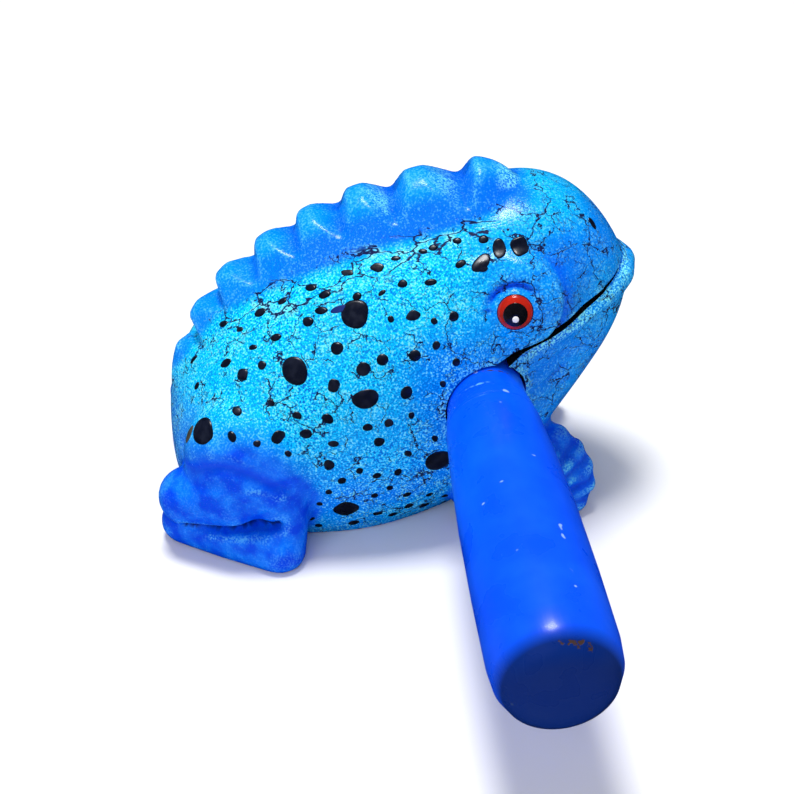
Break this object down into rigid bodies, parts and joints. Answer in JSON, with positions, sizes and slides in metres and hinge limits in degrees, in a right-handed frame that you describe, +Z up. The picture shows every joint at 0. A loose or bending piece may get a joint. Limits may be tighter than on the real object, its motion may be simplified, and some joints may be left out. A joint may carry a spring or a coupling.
{
  "type": "frog rasp with striker",
  "caption": "Carved wooden frog rasp with a toothed back and a sawn mouth, and the tapered striker that is kept in a bore through the mouth corners.",
  "frame": {"origin": "middle of the flat under the frog's belly, on the surface it stands on", "axes": "+X forward, to the frog's mouth; +Y to the frog's left; +Z up. The striker lies along Y and its handle points to -Y."},
  "size_m": [0.1003, 0.1384, 0.0731],
  "materials": {
    "body_paint": "blue crackle paint over carved wood, glossy, with raised dark enamel spots",
    "striker_paint": "glossy plain blue paint over turned wood, chipped at the handle's end"
  },
  "bodies": {
    "frog": {"frog_body": "body_paint"},
    "striker": {"striker": "striker_paint"}
  },
  "joints": [
    {"name": "striker_pull", "type": "slide", "parent": "frog", "child": "striker", "axis": [0, -1, 0], "range_m": [0, 0.06]}
  ]
}
